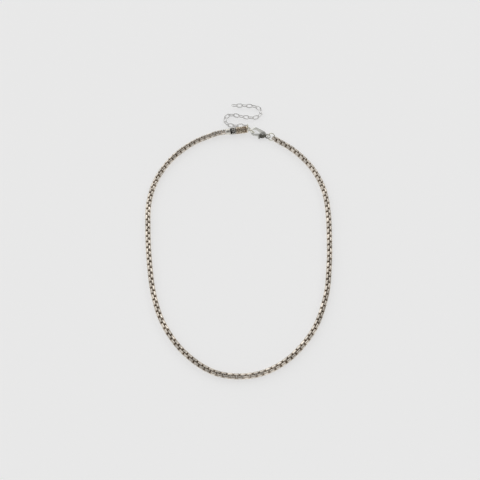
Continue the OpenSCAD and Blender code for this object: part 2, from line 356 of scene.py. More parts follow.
def tube(line: np.ndarray, radius: float | np.ndarray, sides: int, closed: bool) -> np.ndarray:
    """Grid of a round wire along a line of points.

    The section at each point is a circle in the plane across the line; its
    first radius is carried along by removing its part along the way.

    Args:
        line: the wire's middle, one row a point.
        radius: the wire's radius, one value or one a point.
        sides: points round the wire.
        closed: whether the line closes on itself.

    Returns:
        Array of points by sides by 3.
    """
    if closed:
        way = np.roll(line, -1, axis=0) - np.roll(line, 1, axis=0)
    else:
        way = np.gradient(line, axis=0)
    way /= np.linalg.norm(way, axis=1, keepdims=True)
    flat = line - line.mean(axis=0)
    normal = np.linalg.svd(flat, full_matrices=False)[2][2]
    u = np.cross(normal, way)
    u /= np.linalg.norm(u, axis=1, keepdims=True)
    v = np.cross(way, u)
    a = np.linspace(0, 2 * np.pi, sides, endpoint=False)
    c, s = np.cos(a)[None, :, None], np.sin(a)[None, :, None]
    r = np.broadcast_to(np.asarray(radius, float), (len(line),))[:, None, None]
    return line[:, None] + r * (c * u[:, None] + s * v[:, None])


@dataclass(frozen=True)
class Layout:
    """Where the pieces lie, in mm, with the same formulas as the solids.

    A name ends in _w, _t, _d, _r or _len for a width, thickness, diameter, radius
    or length, in _turn for an angle about Z and in _lean for one out of the
    floor, in degrees. hook_over, hook_side and joining_off place the clasp and
    the ring in its hook about the end eye, and carrier_back and carrier_out the
    ring that carries the extender.
    """

    loop_w: float = 116.4
    loop_d: float = 165.4
    neck_x: float = 8.3
    chain_w: float = 3.6
    link_pitch: float = 1.92
    strip_w: float = 1.7
    strip_t: float = 0.7
    link_play: float = 0.24
    climb_len: float = 15.0
    barrel_d: float = 4.7
    barrel_len: float = 12.5
    neck_len: float = 2.1
    barrel_turn: float = 7.5
    eye_r: float = 1.25
    eye_leg: float = 0.75
    ring_wire: float = 0.56
    joining_d: float = 5.0
    carrier_d: float = 4.2
    clasp_ring_wire: float = 0.65
    clasp_ring_d: float = 5.4
    clasp_len: float = 12.4
    clasp_t: float = 3.0
    clasp_turn: float = 154.0
    hook_over: float = 0.55
    hook_side: float = 0.6
    joining_off: tuple[float, float] = (-1.5, 0.95)
    carrier_back: float = 1.49
    carrier_out: float = 2.26
    ring_pull: float = -27.0
    ring_lean: float = 42.0
    start_turn: float = -37.0
    slot_set: float = 0.1
    lead_len: float = 8.0
    end_swing: float = 6.0
    span_steps: int = 16
    roll: float = 45.0
    half_link_set: float = 0.3
    ext_pitch: float = 3.4
    ext_w: float = 3.0
    ext_wire: float = 0.6
    ext_play: float = 0.2
    ext_links: int = 21
    ext_lean: float = 15.0
    ext_ease: int = 3
    joining_turn: float = -35.0
    joining_lean: float = -69.0

    loop_shares = (
        (0.650, 0.825), (0.845, 0.665), (0.960, 0.480), (0.997, 0.290), (0.997, 0.070),
        (0.977, -0.170), (0.925, -0.410), (0.780, -0.665), (0.510, -0.878), (0.170, -0.990),
        (-0.215, -0.978), (-0.540, -0.835), (-0.770, -0.625), (-0.893, -0.390), (-0.957, -0.125),
        (-0.992, 0.140), (-0.995, 0.370), (-0.920, 0.575), (-0.760, 0.755), (-0.535, 0.895),
    )  # fmt: skip
    extender_points = (
        (0, 0), (-3.5, -0.2), (-7, -0.4), (-10.5, -0.4), (-14, 0.6), (-16, 3.7), (-14.8, 7.1),
        (-11.4, 8.4), (-7.6, 7.7), (-3.9, 6.9), (-0.1, 6.2), (3.7, 5.8), (7.3, 6.9), (9.2, 10.1),
        (8, 13.5), (4.4, 15.2), (0.4, 15.6), (-4, 15.8), (-8, 15.9), (-12, 16), (-16, 16.2), (-20, 16.5),
    )  # fmt: skip

    @property
    def link_len(self) -> float:
        """Outer length of a box link."""
        return self.link_pitch + 2 * self.strip_t + self.link_play

    @property
    def chain_z(self) -> float:
        """Height of the resting chain's axis."""
        tip = math.degrees(math.asin(self.strip_w / self.chain_w))
        return self.chain_w / 2 * math.cos(math.radians(self.roll - tip))

    @property
    def barrel_dir(self) -> np.ndarray:
        """The barrel's direction."""
        return turn(self.barrel_turn, (1, 0))

    @property
    def neck_at(self) -> np.ndarray:
        """Left end of the barrel's neck, in the loop's frame."""
        return np.array([-self.neck_x, self.loop_d / 2])

    @property
    def chain_end(self) -> np.ndarray:
        """The chain's last joint."""
        return self.neck_at - (self.half_link_set + self.link_pitch / 2) * self.barrel_dir

    @property
    def eye_far(self) -> np.ndarray:
        """Far point of the end eye's wire."""
        reach = self.neck_len + self.barrel_len + self.eye_leg + self.eye_r
        return self.neck_at + reach * self.barrel_dir

    @property
    def clasp_at(self) -> np.ndarray:
        """Centre of the clasp's rear eye."""
        return self.eye_far - turn(self.clasp_turn, (self.clasp_len + self.hook_over, self.hook_side))

    @property
    def joining_ring(self) -> tuple[np.ndarray, float, float, float]:
        """Centre, radius, turn and lean of the ring in the hook."""
        r = (self.joining_d - self.ring_wire) / 2
        z = r * abs(math.sin(math.radians(self.joining_lean))) + self.ring_wire / 2
        at = self.eye_far + turn(self.clasp_turn, self.joining_off)
        return np.array([at[0], at[1], z]), r, self.joining_turn, self.joining_lean

    @property
    def carrier_ring(self) -> tuple[np.ndarray, float, float, float]:
        """Centre, radius, turn and lean of the ring that carries the extender."""
        at = self.eye_far + turn(self.barrel_turn, (-self.carrier_back, self.carrier_out))
        r = (self.carrier_d - self.ring_wire) / 2
        return np.array([at[0], at[1], self.carrier_d / 2]), r, self.barrel_turn + 90, 90.0

    @property
    def clasp_ring(self) -> tuple[np.ndarray, float, float, float]:
        """Centre, radius, turn and lean of the ring behind the clasp."""
        r = (self.clasp_ring_d - self.clasp_ring_wire) / 2
        z = r * math.sin(math.radians(self.ring_lean)) + self.clasp_ring_wire / 2
        drop = z - self.clasp_t / 2
        slope = math.tan(math.radians(self.ring_lean))
        at = self.clasp_at + turn(self.ring_pull, (ring_half(r, drop, self.ring_lean), drop / slope))
        return np.array([at[0], at[1], z]), r, self.ring_pull, self.ring_lean

    @property
    def chain_joints(self) -> np.ndarray:
        """Joints of the box chain, at equal steps along its route."""
        centre, r, pull, lean = self.clasp_ring
        drop = centre[2] - self.chain_z
        slot = centre[:2] + turn(
            pull, (ring_half(r, drop, lean), -drop / math.tan(math.radians(lean)))
        )
        slot_x = (self.link_pitch - self.link_len + self.strip_t) / 2
        start = slot - turn(self.start_turn, (slot_x + self.slot_set + self.link_pitch / 2, 0))
        end = self.chain_end
        shares = np.array(self.loop_shares) * (self.loop_w / 2, self.loop_d / 2)
        guide = np.concatenate([
            [start - turn(self.start_turn, (self.lead_len, 0)), start],
            shares,
            [end - turn(self.barrel_turn + self.end_swing, (self.lead_len, 0)), end],
            [end + self.lead_len * self.barrel_dir],
        ])
        line = curve(guide, self.span_steps)
        total = running_length(line)[-1]
        count = round(total / self.link_pitch)
        s = np.linspace(0, total, count + 1)
        u = np.clip((s - total + self.climb_len) / self.climb_len, 0, 1)
        z = self.chain_z + (self.barrel_d / 2 - self.chain_z) * (1 - np.cos(np.pi * u)) / 2
        return np.column_stack([at_length(line, s), z])

    def ext_rest(self, lean: np.ndarray | float) -> np.ndarray:
        """Height of the extender's middle where a pair of links leans by some degrees."""
        rise = (self.ext_w - self.ext_wire) / 2 * np.sin(np.radians(self.roll + np.abs(lean)))
        return rise + self.ext_wire / 2

    @property
    def extender_flat(self) -> np.ndarray:
        """The extender's joints seen from above, from the ring that carries it."""
        centre, r, angle, _ = self.carrier_ring
        reach = ring_half(r, centre[2] - float(self.ext_rest(0.0)), 90)
        start = centre[:2] + turn(angle, (reach, -(self.ext_wire + self.ext_play) / 2))
        p = start + np.array(self.extender_points, float)
        line = curve(np.concatenate([[2 * p[0] - p[1]], p, [2 * p[-1] - p[-2]]]), self.span_steps)
        return at_length(line, np.arange(self.ext_links + 1) * self.ext_pitch)

    @property
    def extender_leans(self) -> np.ndarray:
        """Each extender link's lean: most where the extender runs from side to side."""
        d = np.diff(self.extender_flat, axis=0)
        ease = np.minimum(1, np.arange(self.ext_links) / self.ext_ease)
        return self.ext_lean * d[:, 0] / np.linalg.norm(d, axis=1) * ease

    @property
    def extender_joints(self) -> np.ndarray:
        """Joints of the extender, each as high as the more leaning link beside it rests."""
        lean = np.abs(self.extender_leans)
        most = np.maximum(np.concatenate([lean[:1], lean]), np.concatenate([lean, lean[-1:]]))
        return np.column_stack([self.extender_flat, self.ext_rest(most)])

    @property
    def shift(self) -> np.ndarray:
        """Move from the loop's frame to the frame of the whole part."""
        chain, ext = self.chain_joints, self.extender_joints
        half = self.chain_w / 2
        side = math.cos(math.radians(self.roll - self.ext_lean))
        rise = (self.ext_w - self.ext_wire) / 2 * side + self.ext_wire / 2
        low = np.array([chain[:, 0].min() - half, chain[:, 1].min() - half])
        high = np.array([chain[:, 0].max() + half, ext[:, 1].max() + rise])
        return np.array([*(-(low + high) / 2), 0.0])


class Wear(Enum):
    """How worn a finish is: share of its roughness that varies, and grain height in m."""

    POLISHED = (0.25, 2.0e-6)
    HANDLED = (0.45, 6.0e-6)
    CAST = (0.6, 1.6e-5)


class WornAndShadedMetal:
    """The node group that all the metals share: dark colour by gap value (patina on the barrel, painted
    shade on the chain, a painted dark reflection on the clasp), smudges and fine grain.
    """

    NAME = "worn_and_shaded_metal"
    SOCKETS = {
        "INPUT": (
            ("Vector", "Vector"), ("Bright", "Color"), ("Dark", "Color"), ("Gap", "Float"),
            ("Tone", "Float"), ("Roughness", "Float"), ("Spread", "Float"),
        ),
        "OUTPUT": (("Colour", "Color"), ("Roughness", "Float"), ("Height", "Float")),
    }  # fmt: skip
    SMUDGE_SCALE = 420.0
    GRAIN_SCALE = 5200.0
    RAGGED = 0.35
    MASK = (0.3, 0.95)
    SHADE = (0.75, 1.2)
    DULL = 0.35

    @classmethod
    def group(cls) -> bpy.types.NodeTree:
        """The group, built on first use.

        Returns:
            A tree whose colour is a mix of bright and dark by the gap, whose
            roughness rises with the gap and with soft smudges, and whose height
            is a fine grain.
        """
        tree = bpy.data.node_groups.get(cls.NAME)
        if tree:
            return tree
        tree = bpy.data.node_groups.new(cls.NAME, "ShaderNodeTree")
        for way, sockets in cls.SOCKETS.items():
            for name, kind in sockets:
                tree.interface.new_socket(name, in_out=way, socket_type="NodeSocket" + kind)
        n, link = tree.nodes, tree.links.new
        get, put = n.new("NodeGroupInput").outputs, n.new("NodeGroupOutput").inputs
        smudge, grain = n.new("ShaderNodeTexNoise"), n.new("ShaderNodeTexNoise")
        for noise, scale, detail in ((smudge, cls.SMUDGE_SCALE, 3.0), (grain, cls.GRAIN_SCALE, 4.0)):
            noise.inputs["Scale"].default_value = scale
            noise.inputs["Detail"].default_value = detail
            link(get["Vector"], noise.inputs["Vector"])
        cloud = smudge.outputs["Fac"]
        # gap mask with a ragged edge: gap plus a little of the smudge
        ragged = math_node(tree, "MULTIPLY_ADD", cloud, cls.RAGGED, get["Gap"])
        mask = n.new("ShaderNodeMapRange")
        mask.interpolation_type = "SMOOTHSTEP"
        mask.inputs["From Min"].default_value, mask.inputs["From Max"].default_value = cls.MASK
        link(ragged.outputs[0], mask.inputs["Value"])
        deep = mask.outputs["Result"]
        # dark colour by the mask: patina on the barrel, painted shade on the chain, a painted dark
        # reflection on the clasp
        mix = mix_node(tree, deep, get["Bright"], get["Dark"])
        # each link's own shade: the colour times a grey that rises with the tone
        shade = n.new("ShaderNodeMapRange")
        shade.inputs["To Min"].default_value, shade.inputs["To Max"].default_value = cls.SHADE
        link(get["Tone"], shade.inputs["Value"])
        grey = n.new("ShaderNodeCombineColor")
        for k in range(3):
            link(shade.outputs["Result"], grey.inputs[k])
        tint = mix_node(tree, 1.0, mix.outputs[2], grey.outputs["Color"], "MULTIPLY")
        link(tint.outputs[2], put["Colour"])
        # roughness * (1 + spread * (smudge - 1/2)) + dull * mask
        swing = math_node(tree, "SUBTRACT", cloud, 0.5)
        part = math_node(tree, "MULTIPLY_ADD", swing.outputs[0], get["Spread"], 1.0)
        rough = math_node(tree, "MULTIPLY", get["Roughness"], part.outputs[0])
        dull = math_node(tree, "MULTIPLY_ADD", deep, cls.DULL, rough.outputs[0])
        dull.use_clamp = True
        link(dull.outputs[0], put["Roughness"])
        link(grain.outputs["Fac"], put["Height"])
        return tree


@dataclass(frozen=True)
class Metal:
    """A metal finish.

    Attributes:
        name: the material's name.
        bright: colour of the open faces.
        dark: colour deep in the gaps; painted shade on the chain and a painted dark reflection on the
            clasp.
        roughness: roughness of the open faces.
        wear: how worn it is.
        far: both colours where the tone is 1, if the finish changes along the piece.
    """

    name: str
    bright: tuple[float, float, float]
    dark: tuple[float, float, float]
    roughness: float
    wear: Wear
    far: tuple[tuple[float, float, float], tuple[float, float, float]] | None = None

    def material(self) -> bpy.types.Material:
        """The finish as a material, built on first use."""
        found = bpy.data.materials.get(self.name)
        if found:
            return found
        spread, height = self.wear.value
        mat = bpy.data.materials.new(self.name)
        mat.use_nodes = True
        n, link = mat.node_tree.nodes, mat.node_tree.links.new
        shader = n["Principled BSDF"]
        shader.inputs["Metallic"].default_value = 1.0
        place = n.new("ShaderNodeTexCoord")
        worn = n.new("ShaderNodeGroup")
        worn.node_tree = WornAndShadedMetal.group()
        worn.inputs["Bright"].default_value = (*self.bright, 1)
        worn.inputs["Dark"].default_value = (*self.dark, 1)
        worn.inputs["Roughness"].default_value = self.roughness
        worn.inputs["Spread"].default_value = spread
        gap, tone = n.new("ShaderNodeAttribute"), n.new("ShaderNodeAttribute")
        gap.attribute_name, tone.attribute_name = "gap", "tone"
        link(place.outputs["Object"], worn.inputs["Vector"])
        link(gap.outputs["Fac"], worn.inputs["Gap"])
        if self.far:
            for socket, near, far in zip(("Bright", "Dark"), (self.bright, self.dark), self.far):
                blend = mix_node(mat.node_tree, tone.outputs["Fac"], (*near, 1), (*far, 1))
                link(blend.outputs[2], worn.inputs[socket])
            worn.inputs["Tone"].default_value = MID_TONE
        else:
            link(tone.outputs["Fac"], worn.inputs["Tone"])
        bump = n.new("ShaderNodeBump")
        bump.inputs["Strength"].default_value = BUMP
        bump.inputs["Distance"].default_value = height
        link(worn.outputs["Height"], bump.inputs["Height"])
        link(worn.outputs["Colour"], shader.inputs["Base Color"])
        link(worn.outputs["Roughness"], shader.inputs["Roughness"])
        link(bump.outputs["Normal"], shader.inputs["Normal"])
        return mat

    def dress(self, piece: bpy.types.Object, body: str, slot: str, *nodes: str) -> bpy.types.Object:
        """Gives a piece this finish and its place in the frame.

        Args:
            piece: the piece.
            body: the body that it rides on.
            slot: not used.
            nodes: the solids that it stands for.

        Returns:
            The piece.
        """
        piece.data.materials.clear()
        piece.data.materials.append(self.material())
        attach(piece, body)
        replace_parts(piece, *nodes)
        return piece


# the chain's dark colour is painted shade deep inside the chain and at the link ends
CHAIN_METAL = Metal("chain_metal_with_painted_shade", (0.81, 0.74, 0.65), (0.38, 0.30, 0.22), 0.27, Wear.HANDLED)
BARREL_METAL = Metal(
    "antiqued_relief_metal", (0.84, 0.81, 0.75), (0.03, 0.026, 0.02), 0.30, Wear.CAST,
    far=((0.88, 0.79, 0.65), (0.27, 0.19, 0.12)),
)  # fmt: skip
# its dark colour is painted shade on the barrel's soldered half link
PLAIN_METAL = Metal("plain_neck_metal", (0.80, 0.77, 0.70), (0.10, 0.08, 0.06), 0.24, Wear.HANDLED)
RING_METAL = Metal("pale_ring_metal", (0.78, 0.76, 0.64), (0.12, 0.10, 0.07), 0.16, Wear.POLISHED)
EXTENDER_METAL = Metal(
    "bright_extender_metal", (0.79, 0.78, 0.77), (0.14, 0.13, 0.12), 0.14, Wear.POLISHED
)
# the clasp's dark colour is a painted dark reflection about the rivet on its near side
CLASP_METAL = Metal("cast_clasp_metal", (0.68, 0.68, 0.64), (0.17, 0.165, 0.14), 0.20, Wear.HANDLED)


@dataclass
class BoxChain:
    """The round box chain: links bent from strip, their outside round about the chain.

    A link's flat outside would stand dome past the round, and its outer edges lie
    edge_drop below it. Painted shade darkens a point up to gap_r from the chain's
    axis and fades out over gap_over. At a link's end the painted shade reaches in
    by end_len and fades over end_over.
    """

    layout: Layout
    corner: float = 1.1
    dome: float = 0.15
    bevel: float = 0.13
    edge_drop: float = 0.06
    gap_r: float = 0.85
    gap_over: float = 0.6
    end_len: float = 0.72
    end_over: float = 0.7
    seed: int = 11

    def link(self) -> Patch:
        """One link about its own centre.

        Rows go round the bent strip, three to a corner; columns go round the
        strip's section. A point is the inner edge plus a share of the way to the
        outer edge, at a height across the strip, and y is then held inside the
        circle of the chain's round outside.

        Returns:
            The link, with the gap value of 1, which gives full painted shade, near the chain's axis.
        """
        lay = self.layout
        a, b = lay.link_len / 2, lay.chain_w / 2 + self.dome
        ia, ib, rc = a - lay.strip_t, lay.chain_w / 2 - lay.strip_t, self.corner
        k = rc * (1 - math.sqrt(0.5))
        outer = np.array([[a, b - rc], [a - k, b - k], [a - rc, b]])
        inner = np.array([[ia, b - rc], [ia, ib], [a - rc, ib]])
        outer, inner = mirrored(outer), mirrored(inner)
        h, e = lay.strip_w / 2, self.bevel
        share = np.array([0, 0, 1 - e / lay.strip_t, 1, 1, 1, 1 - e / lay.strip_t])
        across = np.array([-h, h, h, h - e, 0, -h + e, -h])
        xy = inner[:, None] + share[None, :, None] * (outer - inner)[:, None]
        z = np.broadcast_to(across, xy.shape[:2])
        r = lay.chain_w / 2 - np.where(np.abs(across) > h - e / 2, self.edge_drop, 0.0)
        limit = np.sqrt(r * r - across * across)
        y = np.clip(xy[..., 1], -limit, limit)
        grid = np.stack([xy[..., 0], y, z], axis=-1)
        # painted shade: the colour darkens deep inside the chain and at each link's ends
        inside = 1 - smooth((np.hypot(y, z) - self.gap_r) / self.gap_over)
        end = smooth((np.abs(xy[..., 0]) - a + self.end_len) / self.end_over)
        gap = np.maximum(inside, end)
        return Patch.grid(grid, wrap_rows=True, gap=gap)

    def build(self) -> bpy.types.Object:
        """All the links, each turned by the roll the other way than the last.

        Returns:
            The dressed chain.
        """
        lay = self.layout
        j = lay.chain_joints + lay.shift
        count = len(j) - 1
        about = np.where(np.arange(count) % 2 == 0, -lay.roll, lay.roll)
        centre, axes = axes_between(j[:-1], j[1:], about)
        tone = np.random.default_rng(self.seed).uniform(0, 1, count)
        piece = self.link().placed(centre, axes, tone).to_object("chain_links", sharp_deg=50)
        return CHAIN_METAL.dress(piece, "necklace", "chain_metal", "box_chain")


@dataclass
class CableExtender:
    """The extender: oval wire links, each half turned against the next."""

    layout: Layout
    around: int = 20
    sides: int = 10
    seed: int = 5
    tones: tuple[float, float] = (0.3, 0.7)

    def link(self) -> Patch:
        """One oval link: a round wire along two half circles joined by straights."""
        lay = self.layout
        r = (lay.ext_w - lay.ext_wire) / 2
        straight = lay.ext_pitch + lay.ext_wire + lay.ext_play - 2 * r
        a = np.linspace(-np.pi / 2, np.pi / 2, self.around // 2)
        right = np.stack([r * np.cos(a) + straight / 2, r * np.sin(a), 0 * a], axis=1)
        line = np.concatenate([right, right * (-1, -1, 1)])
        return Patch.grid(tube(line, lay.ext_wire / 2, self.sides, True), wrap_rows=True)

    def build(self) -> bpy.types.Object:
        """All the extender's links.

        Returns:
            The dressed extender.
        """
        lay = self.layout
        j = lay.extender_joints + lay.shift
        about = np.where(np.arange(lay.ext_links) % 2 == 0, lay.roll, -lay.roll) + lay.extender_leans
        centre, axes = axes_between(j[:-1], j[1:], about)
        tone = np.random.default_rng(self.seed).uniform(*self.tones, len(centre))
        piece = self.link().placed(centre, axes, tone).to_object("extender_links", sharp_deg=60)
        return EXTENDER_METAL.dress(piece, "necklace", "extender_metal", "extender_chain")


@dataclass
class JumpRing:
    """A ring bent from round wire, its two cut ends meeting at a fine joint.

    place is its centre, radius, turn and lean; joint_at is where the joint lies,
    in degrees; cut_edge is the share of the wire's radius that the cut ends have.
    """

    name: str
    node: str
    place: tuple[np.ndarray, float, float, float]
    wire: float
    joint_at: float
    layout: Layout
    joint: float = 0.05
    cut_edge: float = 0.97
    along: int = 61
    sides: int = 16

    def build(self) -> bpy.types.Object:
        """The ring in its place: a wire along an arc that stops short of a full turn.

        Returns:
            The dressed ring.
        """
        centre, r, about, lean = self.place
        half = self.joint / r / 2
        a = math.radians(self.joint_at) + np.linspace(half, 2 * np.pi - half, self.along)
        line = np.stack([r * np.cos(a), r * np.sin(a), 0 * a], axis=1)
        wire = tube(line, self.wire / 2, self.sides, False)
        # each cut end: from its middle out to just inside the wire's edge
        share = np.array([0.0, self.cut_edge])[:, None, None]
        first = line[0] + share * (wire[:1] - line[0])
        last = line[-1] + share[::-1] * (wire[-1:] - line[-1])
        grid = np.concatenate([first, wire, last])
        patch = Patch.grid(grid, tone=np.full(grid.shape[:2], MID_TONE))
        (c, s), (ct, st) = cos_sin(lean), cos_sin(about)
        axes = np.array([[[ct, st, 0], [-st * c, ct * c, s], [st * s, -ct * s, c]]])
        at = (centre + self.layout.shift)[None]
        piece = patch.placed(at, axes).to_object(self.name, sharp_deg=40)
        return RING_METAL.dress(piece, "necklace", "ring_metal", self.node)


@dataclass
class BarrelBead:
    """The barrel: a plain neck, a cast relief body, an end eye and a soldered half link.

    The body has a rim at each end and three bays between two pairs of lines. A
    rosette is a ring with a dot. dot_share and hub_share are in line widths,
    warm_from is in bays, and soft is the width over which an edge rises.
    """

    layout: Layout
    chain: BoxChain
    neck_d: float = 3.7
    rim_w: float = 0.75
    relief_h: float = 0.3
    rosette_d: float = 2.2
    rosettes: int = 5
    relief_turn: float = 22.0
    line_w: float = 0.36
    eye_wire: float = 0.7
    around: int = 216
    along: int = 300
    soft: float = 0.14
    line_set: float = 0.55
    dot_share: float = 0.8
    hub_share: float = 2.2
    end_bevel: float = 0.1
    neck_bevel: float = 0.16
    sunk: float = 0.25
    neck_sides: int = 64
    eye_sides: int = 14
    bow_points: int = 25
    warm_from: float = 0.9
    warm_over: float = 1.2

    @property
    def bay(self) -> float:
        """Length of each of the three bays between the rims."""
        return (self.layout.barrel_len - 2 * self.rim_w) / 3

    def edge(self, inside: np.ndarray) -> np.ndarray:
        """Height share at a distance inside a shape's edge."""
        return smooth(inside / self.soft + 0.5)

    def relief(self, x: np.ndarray, angle: np.ndarray) -> np.ndarray:
        """Height of the cast ornament, from 0 in the ground to 1 on top.

        Each shape is a smooth step of the distance from its edge, and the highest
        shape counts: rims, lines round the barrel, dots, and rings with a dot.

        Args:
            x: distance along the body.
            angle: angle round the body in degrees.

        Returns:
            The height share at each point.
        """
        lay, w = self.layout, self.line_w
        r = lay.barrel_d / 2
        step = 180 / self.rosettes
        end = np.minimum(x, lay.barrel_len - x)
        out = self.edge(self.rim_w - end)
        for k in (1, 2):
            middle = self.rim_w + k * self.bay
            for side in (-self.line_set, self.line_set):
                out = np.maximum(out, self.edge(w / 2 - np.abs(x - middle - side)))
            for i in range(2 * self.rosettes):
                d = self.away(x, angle, middle, self.relief_turn + step * i, r)
                out = np.maximum(out, self.edge(self.dot_share * w - d))
        for k in range(3):
            middle = self.rim_w + (k + 0.5) * self.bay
            for i in range(self.rosettes):
                d = self.away(x, angle, middle, self.relief_turn + (k % 2 + 2 * i) * step, r)
                ring = w / 2 - np.abs(d - (self.rosette_d - w) / 2)
                hub = self.rosette_d / 2 - self.hub_share * w - d
                out = np.maximum(out, self.edge(np.maximum(ring, hub)))
        return out

    @staticmethod
    def away(x: np.ndarray, angle: np.ndarray, x0: float, angle0: float, r: float) -> np.ndarray:
        """Distance from an axis that leaves the barrel at a place, or far on its back."""
        off = np.radians(angle - angle0)
        d = np.hypot(x - x0, r * np.sin(off))
        return np.where(np.cos(off) > 0, d, FAR_MM)

    def frame(self) -> tuple[np.ndarray, np.ndarray]:
        """Place and axes of the barrel's own frame, whose X runs from the neck to the eye."""
        lay = self.layout
        at = np.array([*lay.neck_at, lay.barrel_d / 2]) + lay.shift
        d = lay.barrel_dir
        axes = np.array([[d[0], d[1], 0], [-d[1], d[0], 0], [0, 0, 1]])
        return at[None], axes[None]

    def body(self) -> Patch:
        """The relief body: radius = ground + height share times the relief's height."""
        lay = self.layout
        ground, top = lay.barrel_d / 2 - self.relief_h, lay.barrel_d / 2
        x = np.linspace(0, lay.barrel_len, self.along)
        angle = np.arange(self.around) * 360 / self.around
        share = self.relief(x[:, None], angle[None])
        from_end = np.minimum(x, lay.barrel_len - x)[:, None]
        radius = ground + self.relief_h * share
        radius -= self.end_bevel * (1 - smooth(from_end / self.end_bevel))
        cap = np.array([0.0, 0.5, 0.86, 0.97]) * (top - self.end_bevel)
        cap = np.repeat(cap[:, None], self.around, axis=1)
        ends = np.zeros(len(cap))
        radius = np.concatenate([cap, radius, cap[::-1]])
        run = np.concatenate([ends, x, ends + lay.barrel_len]) + lay.neck_len
        a = np.radians(angle)[None] + np.pi / 2
        along = np.broadcast_to(run[:, None], radius.shape)
        grid = np.stack([along, radius * np.cos(a), radius * np.sin(a)], axis=-1)
        half = np.full(cap.shape, 0.5)
        gap = np.concatenate([half, 1 - share, half])
        warm_x = lay.neck_len + self.rim_w + self.warm_from * self.bay
        warm = smooth((along - warm_x) / self.warm_over)
        return Patch.grid(grid, gap=gap, tone=warm)

    def fittings(self) -> Patch:
        """The neck, the end eye and the half link, in the barrel's frame."""
        lay = self.layout
        r, e, end = self.neck_d / 2, self.neck_bevel, lay.neck_len + self.sunk
        run = np.array([0, 0, 0, 0.3 * e, e, 0.35 * end, 0.7 * end, end, end])[:, None]
        size = np.array([0, 0.6 * r, r - e, r - 0.3 * e, r, r, r, r, 0])[:, None]
        a = np.linspace(0, 2 * np.pi, self.neck_sides, endpoint=False)[None]
        neck = Patch.grid(np.stack([run + 0 * a, size * np.cos(a), size * np.sin(a)], axis=-1))
        b = np.linspace(-np.pi / 2, np.pi / 2, self.bow_points)
        x0 = lay.neck_len + lay.barrel_len
        bow = np.stack([x0 + lay.eye_leg + lay.eye_r * np.cos(b), lay.eye_r * np.sin(b), 0 * b], axis=1)
        leg = np.array([x0 - self.sunk, 0, 0])
        line = np.concatenate([[leg - (0, lay.eye_r, 0)], bow, [leg + (0, lay.eye_r, 0)]])
        wire = tube(line, self.eye_wire / 2, self.eye_sides, False)
        first, last = line[0] + 0 * wire[:1], line[-1] + 0 * wire[-1:]
        eye = Patch.grid(np.concatenate([first, wire, last]))
        count = len(lay.chain_joints) - 1
        about = -lay.roll if count % 2 == 0 else lay.roll
        c, s = cos_sin(about)
        # the half link carries the chain link's painted shade in its gap values
        link = self.chain.link().placed(
            np.array([[-lay.half_link_set, 0, 0]]), np.array([[[1, 0, 0], [0, c, s], [0, -s, c]]])
        )
        whole = Patch.joined(neck, eye, link)
        whole.tone[:] = MID_TONE
        return whole

    def build(self) -> list[bpy.types.Object]:
        """The barrel's two pieces.

        Returns:
            The relief body and its fittings.
        """
        body = self.body().placed(*self.frame()).to_object("barrel_relief", sharp_deg=60)
        rest = self.fittings().placed(*self.frame()).to_object("barrel_fittings", sharp_deg=50)
        return [
            BARREL_METAL.dress(body, "necklace", "barrel_metal", "barrel_bead"),
            PLAIN_METAL.dress(rest, "necklace", "barrel_metal", "barrel_bead"),
        ]


